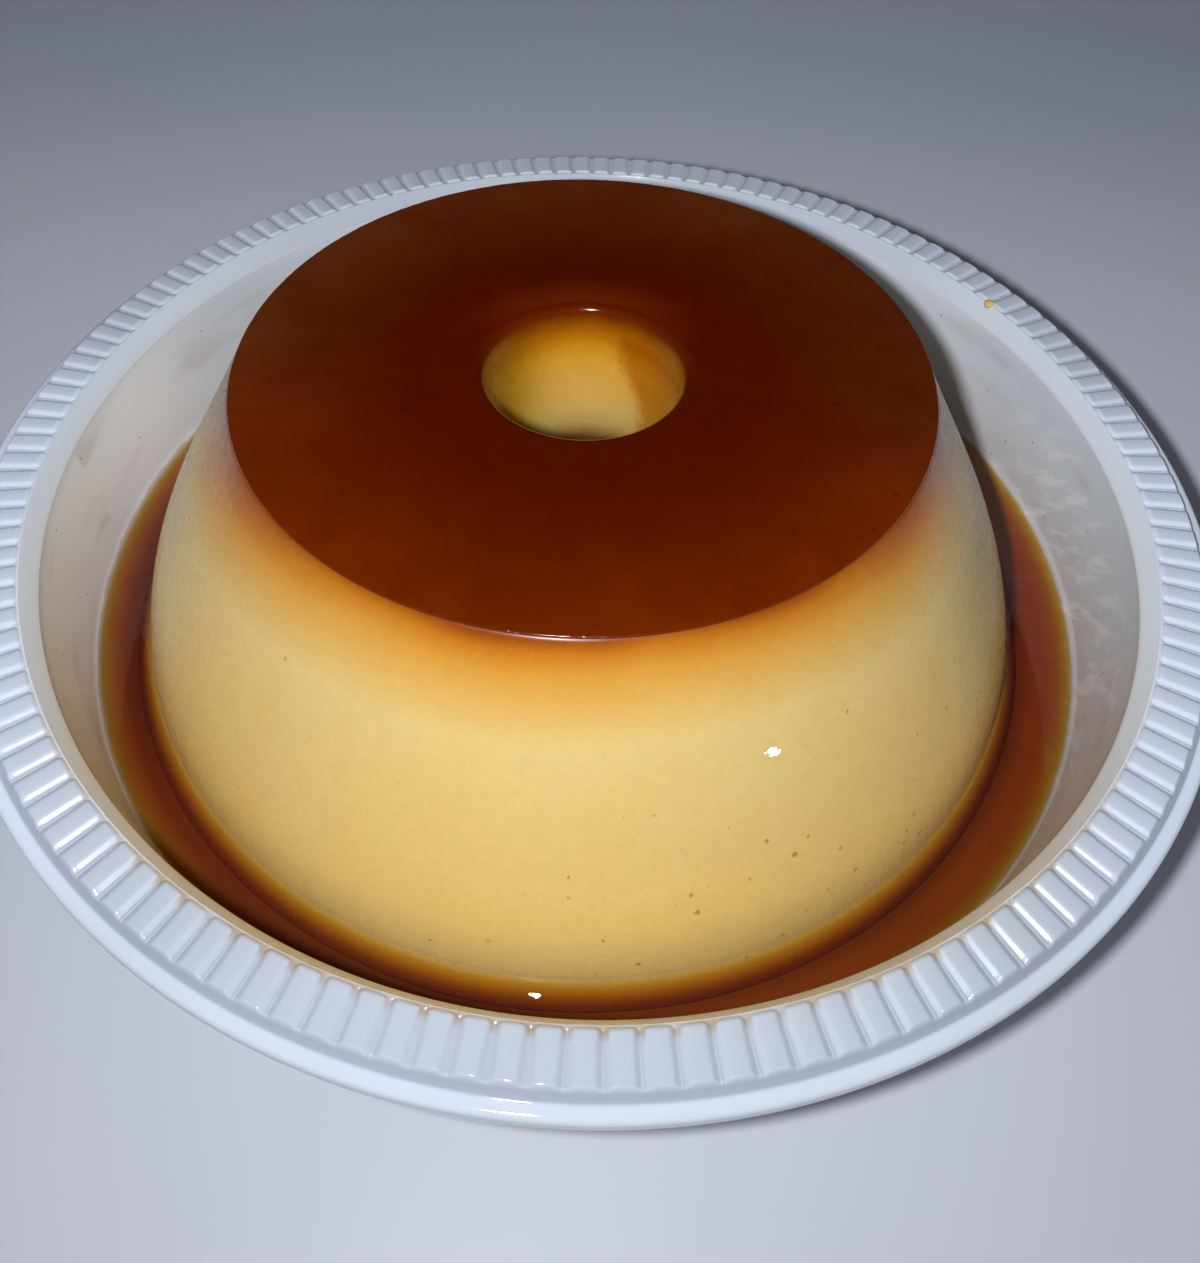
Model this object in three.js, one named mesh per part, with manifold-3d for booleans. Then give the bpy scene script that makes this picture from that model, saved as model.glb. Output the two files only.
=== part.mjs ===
// Caramel pudding: a ring of baked custard turned out of its mould into a deep white dish.
// A dark caramel layer covers the top and rolls into the hole, and caramel sauce lies round the foot.
// Millimetres, +Z up. The dish stands on z = 0 round the Z axis, and the front faces -Y.
import * as THREE from 'three';
import { mergeVertices } from 'three/addons/utils/BufferGeometryUtils.js';
import Module from 'manifold-3d';

const wasm = await Module();
wasm.setup();

// Clearance kept between neighbouring pieces.
const GAP = 0.3;

// Dish: floor, rounded corner, nearly upright wall, then the stepped and ribbed rim.
const DISH_SIDES = 64;
const SHELL = 2;
const CORNER_RADIUS = 9.6;
const CORNER_CENTRE = 107.6;
const CORNER_STEPS = 2;
const WALL_TOP_RADIUS = 120;
const WALL_TOP_Z = 39.2;
const LEDGE_UNDERCUT = 0.5;
const VALLEY_Z = 44.2;
const VALLEY_INNER_RADIUS = 122.4;
const VALLEY_OUTER_RADIUS = 131.4;
const FLANGE_Z = 41.7;
const FLANGE_STEP_SLOPE = 1.4;
const LIP_RADIUS = 135.7;
const LIP_Z = 38.6;
const LIP_THICKNESS = 1.6;
const LIP_TAPER = 0.4;
const LIP_ROUND = 1;

// Ribs on the rim.
const RIB_COUNT = 140;
const RIB_INNER_RADIUS = 122.9;
const RIB_OUTER_RADIUS = 131;
const RIB_HEIGHT = 1;
const RIB_FLAT = 3.3;
const RIB_FLANK = 1.1;
const RIB_SHOULDER = 0.8;
const RIB_ROOT = 1.6;
const RIB_TOE = 0.05;

// Pudding: its own axis stands a little left of the dish's.
const PUDDING_SIDES = 48;
const PUDDING_X = -2.1;
const TOP_Z = 73.6;
const TOP_RADIUS = 72;
const FOOT_RADIUS = 107;
const FOOT_EDGE_Z = 6.7;
const FOOT_BEVEL_WIDTH = 1.2;
const FOOT_BEVEL_HEIGHT = 0.8;
const WATERLINE_RADIUS = 102.8;
const HOLE_TOP_RADIUS = 20.6;
const HOLE_FOOT_RADIUS = 16.5;
const HOLE_EDGE_ROUND = 2.5;
const HOLE_EDGE_STEPS = 4;
const CARAMEL_THICKNESS = 2;
const CARAMEL_SKIRT_Z = 68.2;

// Bulge of the flank: how far its two ends aim upward, and how far each aims inward or outward.
const FLANK_REACH = 21.9;
const FLANK_FOOT_LEAN = 2.6;
const FLANK_TOP_LEAN = 11.4;
const FLANK_STEPS = 9;
const HALVINGS = 30;

// The soft custard leans a little as it settles: sideways shift at the top, shift of the hole's top
// towards the front, and slope of the top face.
const LEAN_X = -1.3;
const HOLE_LEAN_Y = -2.6;
const TOP_SLOPE_X = 0.014;
const TOP_SLOPE_Y = -0.0177;

// Sauce in the dish.
const SAUCE_Z = 8;

// A closed body of revolution about the Z axis. The outline runs upward on its outer side.
function revolve(outline, sides) {
  return new THREE.LatheGeometry(outline, sides).rotateX(Math.PI / 2);
}

// Three.js geometry as a manifold solid. Triangles that shrink to a line on the axis are left out.
function toSolid(geometry) {
  const bare = geometry.clone().deleteAttribute('normal').deleteAttribute('uv');
  const merged = mergeVertices(bare, 1e-4);
  const corners = Array.from(merged.index.array);
  const triangles = [];
  for (let i = 0; i < corners.length; i += 3) {
    const [a, b, c] = corners.slice(i, i + 3);
    if (a !== b && b !== c && c !== a) triangles.push(a, b, c);
  }
  return new wasm.Manifold(new wasm.Mesh({
    numProp: 3,
    vertProperties: new Float32Array(merged.attributes.position.array),
    triVerts: new Uint32Array(triangles),
  }));
}

// Manifold solid as three.js geometry.
function toGeometry(solid) {
  const mesh = solid.getMesh();
  const geometry = new THREE.BufferGeometry();
  geometry.setAttribute('position', new THREE.BufferAttribute(mesh.vertProperties, 3));
  geometry.setIndex(new THREE.BufferAttribute(mesh.triVerts, 1));
  geometry.computeVertexNormals();
  return geometry;
}

// One closed, smooth shell: floor, corner, wall, ledge, plain rim, flange and turned-down lip.
function dishShell() {
  const cornerZ = SHELL + CORNER_RADIUS;
  const outline = new THREE.Path();
  outline.moveTo(0, 0);
  outline.lineTo(CORNER_CENTRE, 0);
  outline.absarc(CORNER_CENTRE, cornerZ, CORNER_RADIUS + SHELL, -Math.PI / 2, 0, false);
  outline.lineTo(WALL_TOP_RADIUS + SHELL, WALL_TOP_Z - LEDGE_UNDERCUT);
  outline.lineTo(VALLEY_INNER_RADIUS + SHELL, VALLEY_Z - SHELL);
  outline.lineTo(VALLEY_OUTER_RADIUS - SHELL, VALLEY_Z - SHELL);
  outline.lineTo(VALLEY_OUTER_RADIUS - SHELL, FLANGE_Z - SHELL);
  outline.lineTo(LIP_RADIUS - LIP_THICKNESS, FLANGE_Z - SHELL);
  outline.lineTo(LIP_RADIUS - LIP_THICKNESS + LIP_TAPER, LIP_Z);
  outline.lineTo(LIP_RADIUS, LIP_Z + LIP_TAPER);
  outline.lineTo(LIP_RADIUS, FLANGE_Z - LIP_ROUND);
  outline.lineTo(LIP_RADIUS - LIP_ROUND, FLANGE_Z);
  outline.lineTo(VALLEY_OUTER_RADIUS + FLANGE_STEP_SLOPE, FLANGE_Z);
  outline.lineTo(VALLEY_OUTER_RADIUS, VALLEY_Z);
  outline.lineTo(VALLEY_INNER_RADIUS, VALLEY_Z);
  outline.lineTo(WALL_TOP_RADIUS, WALL_TOP_Z);
  outline.absarc(CORNER_CENTRE, cornerZ, CORNER_RADIUS, 0, -Math.PI / 2, true);
  outline.lineTo(0, SHELL);
  return toSolid(revolve(outline.getPoints(CORNER_STEPS), DISH_SIDES));
}

// One rib: its side view is drawn along the radius, and the bevels make its sloping flanks.
function rimRib() {
  const crest = VALLEY_Z + RIB_HEIGHT;
  const side = new THREE.Shape();
  side.moveTo(RIB_INNER_RADIUS, VALLEY_Z - RIB_ROOT);
  side.lineTo(RIB_OUTER_RADIUS, VALLEY_Z - RIB_ROOT);
  side.lineTo(RIB_OUTER_RADIUS, crest - RIB_SHOULDER);
  side.lineTo(RIB_OUTER_RADIUS - RIB_SHOULDER, crest);
  side.lineTo(RIB_INNER_RADIUS + RIB_SHOULDER, crest);
  side.lineTo(RIB_INNER_RADIUS, crest - RIB_SHOULDER);
  const geometry = new THREE.ExtrudeGeometry(side, {
    depth: RIB_FLAT,
    bevelThickness: RIB_FLANK,
    bevelSize: RIB_HEIGHT - RIB_TOE,
    bevelOffset: RIB_TOE - RIB_HEIGHT,
    bevelSegments: 1,
  });
  return geometry.translate(0, 0, -RIB_FLAT / 2).rotateX(Math.PI / 2);
}

function ribbedDish() {
  let dish = dishShell();
  for (let i = 0; i < RIB_COUNT; i++) {
    const rib = rimRib().rotateZ((i + 0.5) / RIB_COUNT * 2 * Math.PI);
    dish = dish.add(toSolid(rib));
  }
  return toGeometry(dish);
}

// The flank from the sauce level up to the sharp top edge, bulging outward like its mould.
const flankCurve = new THREE.CubicBezierCurve(
  new THREE.Vector2(WATERLINE_RADIUS, SAUCE_Z),
  new THREE.Vector2(WATERLINE_RADIUS - FLANK_FOOT_LEAN, SAUCE_Z + FLANK_REACH),
  new THREE.Vector2(TOP_RADIUS + FLANK_TOP_LEAN, TOP_Z - FLANK_REACH),
  new THREE.Vector2(TOP_RADIUS, TOP_Z),
);

// Radius of the flank at a height, by halving the curve's range.
function flankRadius(z) {
  let low = 0;
  let high = 1;
  for (let i = 0; i < HALVINGS; i++) {
    const middle = (low + high) / 2;
    if (flankCurve.getPoint(middle).y < z) low = middle;
    else high = middle;
  }
  return flankCurve.getPoint(low).x;
}

// Outline points of the flank, from the sauce level up to a height.
function flankOutline(topZ) {
  const points = [];
  for (let i = 0; i <= FLANK_STEPS; i++) {
    const z = THREE.MathUtils.lerp(SAUCE_Z, topZ, i / FLANK_STEPS);
    points.push(new THREE.Vector2(flankRadius(z), z));
  }
  return points;
}

function holeRadius(z) {
  const rise = (z - SHELL) / (CARAMEL_SKIRT_Z - SHELL);
  return THREE.MathUtils.lerp(HOLE_FOOT_RADIUS, HOLE_TOP_RADIUS, rise);
}

// Custard with its spreading foot below the sauce, and the seat of the caramel layer cut into its top.
function custardRing() {
  const foot = SHELL + GAP;
  const seat = CARAMEL_THICKNESS + GAP;
  const seatZ = TOP_Z - seat;
  const edgeCentre = HOLE_TOP_RADIUS + HOLE_EDGE_ROUND;
  const shelfZ = CARAMEL_SKIRT_Z - GAP;
  const outline = [
    new THREE.Vector2(holeRadius(foot), foot),
    new THREE.Vector2(FOOT_RADIUS, foot),
    new THREE.Vector2(FOOT_RADIUS, FOOT_EDGE_Z - FOOT_BEVEL_HEIGHT),
    new THREE.Vector2(FOOT_RADIUS - FOOT_BEVEL_WIDTH, FOOT_EDGE_Z),
    ...flankOutline(seatZ),
    new THREE.Vector2(edgeCentre, seatZ),
    new THREE.Vector2(HOLE_TOP_RADIUS + seat, seatZ - HOLE_EDGE_ROUND + seat),
    new THREE.Vector2(HOLE_TOP_RADIUS + seat, shelfZ),
    new THREE.Vector2(holeRadius(shelfZ), shelfZ),
    new THREE.Vector2(holeRadius(foot), foot),
  ];
  return revolve(outline, PUDDING_SIDES);
}

// Caramel layer: flat on top with a sharp outer edge, rounded into the hole and a little way down it.
function caramelLayer() {
  const underZ = TOP_Z - CARAMEL_THICKNESS;
  const edgeCentre = HOLE_TOP_RADIUS + HOLE_EDGE_ROUND;
  const edgeCentreZ = TOP_Z - HOLE_EDGE_ROUND;
  const innerRound = HOLE_EDGE_ROUND - CARAMEL_THICKNESS;
  const roundedEdge = new THREE.EllipseCurve(edgeCentre, edgeCentreZ, HOLE_EDGE_ROUND, HOLE_EDGE_ROUND,
    Math.PI / 2, Math.PI, false);
  const outline = [
    new THREE.Vector2(flankRadius(underZ), underZ),
    new THREE.Vector2(TOP_RADIUS, TOP_Z),
    ...roundedEdge.getPoints(HOLE_EDGE_STEPS),
    new THREE.Vector2(holeRadius(CARAMEL_SKIRT_Z), CARAMEL_SKIRT_Z),
    new THREE.Vector2(HOLE_TOP_RADIUS + CARAMEL_THICKNESS, CARAMEL_SKIRT_Z),
    new THREE.Vector2(HOLE_TOP_RADIUS + CARAMEL_THICKNESS, underZ - innerRound),
    new THREE.Vector2(edgeCentre, underZ),
    new THREE.Vector2(flankRadius(underZ), underZ),
  ];
  return revolve(outline, PUDDING_SIDES);
}

// Lean and slope of the settled pudding, growing with height so that the foot stays put.
function settle(geometry) {
  const place = geometry.attributes.position;
  const holeReach = HOLE_TOP_RADIUS + HOLE_EDGE_ROUND + GAP;
  for (let i = 0; i < place.count; i++) {
    const rise = Math.max(0, place.getZ(i) - SAUCE_Z) / (TOP_Z - SAUCE_Z);
    const atHole = Math.hypot(place.getX(i), place.getY(i)) < holeReach;
    place.setY(i, place.getY(i) + (atHole ? HOLE_LEAN_Y * rise : 0));
    const slope = TOP_SLOPE_X * place.getX(i) + TOP_SLOPE_Y * place.getY(i);
    place.setX(i, place.getX(i) + LEAN_X * rise);
    place.setZ(i, place.getZ(i) + slope * rise * rise);
  }
  return geometry;
}

// Sauce between the foot of the pudding and the rounded corner of the dish.
function saucePool() {
  const bottom = SHELL + GAP;
  const cornerZ = SHELL + CORNER_RADIUS;
  const radius = CORNER_RADIUS - GAP;
  const edgeAngle = Math.asin((SAUCE_Z - cornerZ) / radius);
  const outline = new THREE.Path();
  outline.moveTo(0, bottom);
  outline.lineTo(CORNER_CENTRE, bottom);
  outline.absarc(CORNER_CENTRE, cornerZ, radius, -Math.PI / 2, edgeAngle, false);
  outline.lineTo(0, SAUCE_Z);
  const cutter = [
    new THREE.Vector2(0, 0),
    new THREE.Vector2(FOOT_RADIUS + GAP, 0),
    new THREE.Vector2(FOOT_RADIUS + GAP, FOOT_EDGE_Z - FOOT_BEVEL_HEIGHT + GAP),
    new THREE.Vector2(FOOT_RADIUS + GAP - FOOT_BEVEL_WIDTH, FOOT_EDGE_Z + GAP),
    new THREE.Vector2(WATERLINE_RADIUS + GAP, SAUCE_Z + GAP),
    new THREE.Vector2(0, SAUCE_Z + GAP),
  ];
  const disc = toSolid(revolve(outline.getPoints(CORNER_STEPS), DISH_SIDES));
  const pudding = toSolid(revolve(cutter, PUDDING_SIDES).translate(PUDDING_X, 0, 0));
  return toGeometry(disc.subtract(pudding));
}

// Sauce that has run down the hole, up to the same level.
function sauceInHole() {
  const bottom = SHELL + GAP;
  const outline = [
    new THREE.Vector2(0, bottom),
    new THREE.Vector2(holeRadius(bottom) - GAP, bottom),
    new THREE.Vector2(holeRadius(SAUCE_Z) - GAP, SAUCE_Z),
    new THREE.Vector2(0, SAUCE_Z),
  ];
  return revolve(outline, PUDDING_SIDES);
}

const dishPlastic = new THREE.MeshStandardMaterial({ color: 0xd5dce6, roughness: 0.28, metalness: 0 });
const custardCream = new THREE.MeshStandardMaterial({ color: 0xe3c078, roughness: 0.42, metalness: 0 });
const caramelGlaze = new THREE.MeshStandardMaterial({ color: 0x571c04, roughness: 0.18, metalness: 0 });
const caramelSauce = new THREE.MeshStandardMaterial({ color: 0x6b2a08, roughness: 0.08, metalness: 0 });

function namedMesh(name, geometry, material) {
  const mesh = new THREE.Mesh(geometry, material);
  mesh.name = name;
  return mesh;
}

const pudding = new THREE.Group();
pudding.position.set(PUDDING_X, 0, 0);
pudding.add(
  namedMesh('custard', settle(custardRing()), custardCream),
  namedMesh('caramel_top', settle(caramelLayer()), caramelGlaze),
  namedMesh('sauce_hole', sauceInHole(), caramelSauce),
);

const served = new THREE.Group();
served.add(
  namedMesh('dish', ribbedDish(), dishPlastic),
  namedMesh('sauce_pool', saucePool(), caramelSauce),
  pudding,
);

export default served;
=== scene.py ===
import math

import bpy
import numpy as np
from mathutils import Matrix, Vector, noise


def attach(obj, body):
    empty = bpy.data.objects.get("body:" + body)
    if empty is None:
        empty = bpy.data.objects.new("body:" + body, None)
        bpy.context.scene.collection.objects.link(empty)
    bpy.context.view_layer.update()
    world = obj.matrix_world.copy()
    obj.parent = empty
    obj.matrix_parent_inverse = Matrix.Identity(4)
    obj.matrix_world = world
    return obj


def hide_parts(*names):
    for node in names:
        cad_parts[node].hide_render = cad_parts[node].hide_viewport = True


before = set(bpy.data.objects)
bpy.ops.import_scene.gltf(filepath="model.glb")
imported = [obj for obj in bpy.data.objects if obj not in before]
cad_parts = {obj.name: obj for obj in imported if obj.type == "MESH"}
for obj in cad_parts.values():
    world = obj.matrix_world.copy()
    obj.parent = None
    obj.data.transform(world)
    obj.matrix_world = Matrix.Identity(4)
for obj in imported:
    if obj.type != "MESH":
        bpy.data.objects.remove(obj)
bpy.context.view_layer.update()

MM = 0.001

# Dish, as in the part, but for the ribs' height: the flanks of taller ones mirror the key lamp.
SHELL = 2.0
CORNER_RADIUS = 9.6
CORNER_CENTRE = 107.6
WALL_TOP_RADIUS = 120.0
WALL_TOP_Z = 39.2
WALL_LEAN = (WALL_TOP_RADIUS - CORNER_CENTRE - CORNER_RADIUS) / (WALL_TOP_Z - SHELL - CORNER_RADIUS)
VALLEY_Z = 44.2
VALLEY_INNER_RADIUS = 122.4
VALLEY_OUTER_RADIUS = 131.4
FLANGE_Z = 41.7
FLANGE_FOOT_RADIUS = 132.9
LIP_RADIUS = 135.7
LIP_Z = 38.6
RIB_COUNT = 140
RIB_HEIGHT = 0.52

# Pudding, as in the part.
PUDDING_X = -2.1
TOP_Z = 73.6
TOP_RADIUS = 72.0
FOOT_RADIUS = 107.0
WATERLINE_RADIUS = 102.8
HOLE_TOP_RADIUS = 20.6
HOLE_FOOT_RADIUS = 16.5
HOLE_EDGE_ROUND = 2.5
CARAMEL_THICKNESS = 2.0
CARAMEL_SKIRT_Z = 68.2
LEAN_X = -1.3
HOLE_LEAN_Y = -2.6
TOP_SLOPE_X = 0.014
TOP_SLOPE_Y = -0.0177
SAUCE_Z = 8.0
FLANK_REACH = 21.9
FLANK_FOOT_LEAN = 2.6
FLANK_TOP_LEAN = 11.4

# Camera, fitted to the photograph's frame, and the flash beside it.
PHOTO_WIDTH = 1200.0
PHOTO_HEIGHT = 1263.0
FOCAL_PIXELS = 1129.61
CENTRE_PIXEL_X = 591.88
CENTRE_PIXEL_Y = 513.58
PITCH = math.radians(47.26)
YAW = math.radians(0.12)
ROLL = math.radians(-2.78)
CAMERA_AT = Vector((0.04, -182.14, 223.80))
SENSOR = 36.0
KEY_AT = Vector((-21.0, -181.0, 224.0))

# Two small wet places that mirror the lamp: on the flank, and on the sauce at the foot in front.
BLEMISH = dict(at=(33.7, -77.1, 51.0), facing=(0.371, -0.784, 0.498),
               length=1.35, width=0.8, turn=60.0, teeth=1.1, ragged=0.55)
FOOT_GLINT = dict(at=(-6.2, -105.5, SAUCE_Z), facing=(0, 0, 1),
                  length=1.15, width=0.45, turn=0.0, teeth=2.4, ragged=0.35)

# Paint: the radius at which the flank is laid flat, how deep the flank is soaked with caramel and
# shaded, millimetres for a degree round the hole, and the slant of the wall's streaks in radians.
UNROLLED_RADIUS = 85.0
SOAKED_DEPTH = 5.5
SHADED_DEPTH = 68.0
HOLE_DEGREE = 0.36
STREAK_SLANT = 0.72


# ---------------------------------------------------------------- meshes

def arc(centre_r, centre_z, radius, start, end, steps):
    """Points of an arc in the (radius, height) plane; angles in degrees."""
    return [
        (centre_r + radius * math.cos(math.radians(a)), centre_z + radius * math.sin(math.radians(a)))
        for a in np.linspace(start, end, steps)
    ]


def line(a, b, steps):
    """Points after a, up to and with b."""
    return [(a[0] + (b[0] - a[0]) * i / steps, a[1] + (b[1] - a[1]) * i / steps) for i in range(1, steps + 1)]


def rounded(points, radii, steps=4):
    """A polyline whose inner corners are rounded, each by its own radius."""
    out = [points[0]]
    for i in range(1, len(points) - 1):
        p, q, s = (np.array(points[i + k], float) for k in (-1, 0, 1))
        size = radii[i - 1]
        if size <= 0:
            out.append(tuple(q))
            continue
        u, v = (p - q) / np.linalg.norm(p - q), (s - q) / np.linalg.norm(s - q)
        half = math.acos(max(-1.0, min(1.0, float(u @ v)))) / 2
        cut = min(size / math.tan(half), 0.49 * np.linalg.norm(p - q), 0.49 * np.linalg.norm(s - q))
        a, b = q + u * cut, q + v * cut
        for k in range(steps + 1):
            t = k / steps
            out.append(tuple((1 - t) ** 2 * a + 2 * t * (1 - t) * q + t * t * b))
    out.append(points[-1])
    return out


def joined(low, high):
    """Faces between two rings of point numbers. One may have a whole number of times more points."""
    if len(low) == len(high):
        return np.stack([low, np.roll(low, -1), np.roll(high, -1), high], axis=1).tolist()
    if len(low) > len(high):
        return [face[::-1] for face in joined(high, low)]
    share = len(high) // len(low)
    faces = []
    for i in range(len(low)):
        near, far = int(low[i]), int(low[(i + 1) % len(low)])
        fine = [int(high[(i * share + k) % len(high)]) for k in range(share + 1)]
        for k in range(share):
            faces.append([near if k < share / 2 else far, fine[k + 1], fine[k]])
            if k == (share - 1) // 2:
                faces.append([near, far, fine[k + 1]])
    return faces


def make_piece(name, rings, closed, material, nodes=()):
    """Mesh from rings of points that each run round the Z axis, all starting at the same angle.

    closed joins the last ring to the first. Otherwise the first and last are closed by a fan round
    their middle. Points are in millimetres.
    """
    verts = np.concatenate(rings)
    ends = np.cumsum([0] + [len(ring) for ring in rings])
    ids = [np.arange(ends[k], ends[k + 1]) for k in range(len(rings))]
    faces = []
    for k in range(len(rings) if closed else len(rings) - 1):
        faces += joined(ids[k], ids[(k + 1) % len(rings)])
    if not closed:
        for k, flip in ((0, True), (len(rings) - 1, False)):
            middle = len(verts)
            verts = np.vstack([verts, rings[k].mean(axis=0)])
            for a, b in zip(ids[k].tolist(), np.roll(ids[k], -1).tolist()):
                faces.append([b, a, middle] if flip else [a, b, middle])
    mesh = bpy.data.meshes.new(name)
    mesh.from_pydata((verts * MM).tolist(), [], faces)
    mesh.validate()
    mesh.polygons.foreach_set("use_smooth", [True] * len(mesh.polygons))
    mesh.materials.append(material)
    piece = bpy.data.objects.new(name, mesh)
    bpy.context.scene.collection.objects.link(piece)
    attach(piece, "root")
    if nodes:
        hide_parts(*nodes)
    return piece


def revolved(outline, angles, shape=None):
    """Rings of an outline of (radius, height) turned round the Z axis at the angles."""
    cos, sin = np.cos(angles), np.sin(angles)
    rings = []
    for r, z in outline:
        ring = np.stack([r * cos, r * sin, np.full(len(angles), z)], axis=1)
        rings.append(shape(ring) if shape else ring)
    return rings


# ---------------------------------------------------------------- node trees

def tint(r, g, b):
    """Linear colour from 0 to 255 display values."""
    out = []
    for v in (r, g, b):
        v /= 255
        out.append(v / 12.92 if v <= 0.04045 else ((v + 0.055) / 1.055) ** 2.4)
    return (*out, 1.0)


class Tree:
    """Short ways to add shader nodes. A value is a number, a tuple or an output socket."""

    def __init__(self, owner):
        owner.use_nodes = True
        self.tree = owner.node_tree
        self.tree.nodes.clear()

    def put(self, socket, value):
        if isinstance(value, bpy.types.NodeSocket):
            self.tree.links.new(value, socket)
        else:
            socket.default_value = value

    def add(self, kind, inputs=None, **settings):
        node = self.tree.nodes.new(kind)
        for key, value in settings.items():
            setattr(node, key, value)
        for key, value in (inputs or {}).items():
            self.put(node.inputs[key], value)
        return node

    def math(self, operation, a, b=0.0, clamp=False):
        node = self.add("ShaderNodeMath", {0: a, 1: b}, operation=operation, use_clamp=clamp)
        return node.outputs[0]

    def times(self, *values):
        out = values[0]
        for value in values[1:]:
            out = self.math("MULTIPLY", out, value)
        return out

    def plus(self, a, b):
        return self.math("ADD", a, b)

    def minus(self, a, b):
        return self.math("SUBTRACT", a, b)

    def off_middle(self, value):
        """A value of 0 to 1 as -0.5 to 0.5."""
        return self.minus(value, 0.5)

    def vector(self, operation, a, b=(0.0, 0.0, 0.0)):
        return self.add("ShaderNodeVectorMath", {0: a, 1: b}, operation=operation)

    def scaled(self, vector, factors):
        return self.vector("MULTIPLY", vector, factors).outputs[0]

    def dot(self, a, b):
        return self.vector("DOT_PRODUCT", a, tuple(b)).outputs["Value"]

    def abs(self, value):
        return self.math("ABSOLUTE", value)

    def plane(self, across, up):
        """A place on a surface that is laid flat."""
        return self.add("ShaderNodeCombineXYZ", {0: across, 1: up}).outputs[0]

    def grey(self, value):
        return self.add("ShaderNodeCombineColor", {0: value, 1: value, 2: value}).outputs[0]

    def cells(self, place, scale, dimensions="2D"):
        """Distance from the nearest of scattered points, in cells."""
        inputs = {"Vector": place, "Scale": scale}
        return self.add("ShaderNodeTexVoronoi", inputs, voronoi_dimensions=dimensions).outputs[0]

    def mix(self, share, a, b, blend="MIX"):
        node = self.add("ShaderNodeMix", data_type="RGBA", blend_type=blend, clamp_factor=True)
        self.put(node.inputs[0], share)
        self.put(node.inputs[6], a)
        self.put(node.inputs[7], b)
        return node.outputs[2]

    def between(self, value, low, high, to_low=0.0, to_high=1.0, smooth=True):
        """Step from to_low, where the value is low, to to_high, where it is high; high may be less."""
        node = self.add(
            "ShaderNodeMapRange",
            {"Value": value, "From Min": low, "From Max": high, "To Min": to_low, "To Max": to_high},
            interpolation_type="SMOOTHSTEP" if smooth else "LINEAR",
        )
        return node.outputs[0]

    def near(self, value, at, low, high, to_low=0.0, to_high=1.0):
        """Soft step between two limits given from a place."""
        return self.between(value, at + low, at + high, to_low, to_high)

    def ramp(self, value, stops):
        node = self.add("ShaderNodeValToRGB", {0: value})
        ramp = node.color_ramp
        while len(ramp.elements) < len(stops):
            ramp.elements.new(0.5)
        for element, (place, colour) in zip(ramp.elements, stops):
            element.position = place
            element.color = colour
        return node.outputs[0]

    def noise(self, vector, scale, detail=3.0, roughness=0.5, distortion=0.0):
        settings = {"Scale": scale, "Detail": detail, "Roughness": roughness, "Distortion": distortion}
        return self.add("ShaderNodeTexNoise", {"Vector": vector, **settings}).outputs[0]

    def millimetres(self):
        """Place on the piece in millimetres, and its three parts."""
        place = self.add("ShaderNodeTexCoord").outputs["Object"]
        place = self.scaled(place, (1 / MM, 1 / MM, 1 / MM))
        parts = self.add("ShaderNodeSeparateXYZ", {0: place}).outputs
        return place, parts[0], parts[1], parts[2]

    def length(self, x, y):
        return self.math("SQRT", self.plus(self.times(x, x), self.times(y, y)))

    def direction(self, x, y):
        """Angle round the origin in radians: right 0, back a quarter turn."""
        return self.math("ARCTAN2", y, x)

    def bump(self, height, strength, distance, normal=None):
        node = self.add("ShaderNodeBump", {"Strength": strength, "Distance": distance, "Height": height})
        if normal is not None:
            self.put(node.inputs["Normal"], normal)
        return node.outputs[0]

    def skin(self, colour, rough, ior, normal, **more):
        """Principled surface. The names of more inputs have _ for a space."""
        inputs = {"Base Color": colour, "Roughness": rough, "IOR": ior, "Normal": normal}
        inputs.update({key.replace("_", " "): value for key, value in more.items()})
        return self.add("ShaderNodeBsdfPrincipled", inputs, subsurface_method="BURLEY").outputs[0]

    def surface(self, shader, volume=None):
        out = self.add("ShaderNodeOutputMaterial", {"Surface": shader})
        if volume is not None:
            self.put(out.inputs["Volume"], volume)


def new_material(name):
    material = bpy.data.materials.new(name)
    return material, Tree(material)


def mirror_facet(t, place, at, facing, length, width, turn, teeth, ragged):
    """Where a small facet lies on a surface that faces `facing`, and its height in millimetres.

    Its low teeth all slope so that they mirror the key lamp. Length and width are from its middle to
    its edge, turn is in degrees, teeth is the width of a tooth, and ragged is 0 for a smooth outline.
    """
    at, facing = Vector(at), Vector(facing).normalized()
    half = ((CAMERA_AT - at).normalized() + (KEY_AT - at).normalized()).normalized()
    along = half - facing * facing.dot(half)
    slope = along.length / facing.dot(half)
    along.normalize()
    aside = facing.cross(along)
    off = t.vector("SUBTRACT", place, tuple(at)).outputs[0]
    up = t.dot(off, along)
    cos, sin = math.cos(math.radians(turn)), math.sin(math.radians(turn))
    long_way = t.dot(off, (aside * cos + along * sin) / length)
    short_way = t.dot(off, (along * cos - aside * sin) / width)
    torn = t.times(t.off_middle(t.noise(place, 1.3, 1.0)), ragged * 4)
    spot = t.between(t.plus(t.length(long_way, short_way), torn), 1.0, 0.86)
    tooth = t.minus(t.math("FRACT", t.plus(t.math("DIVIDE", up, teeth), 0.5)), 0.5)
    return spot, t.times(tooth, spot, -slope * teeth)


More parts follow.
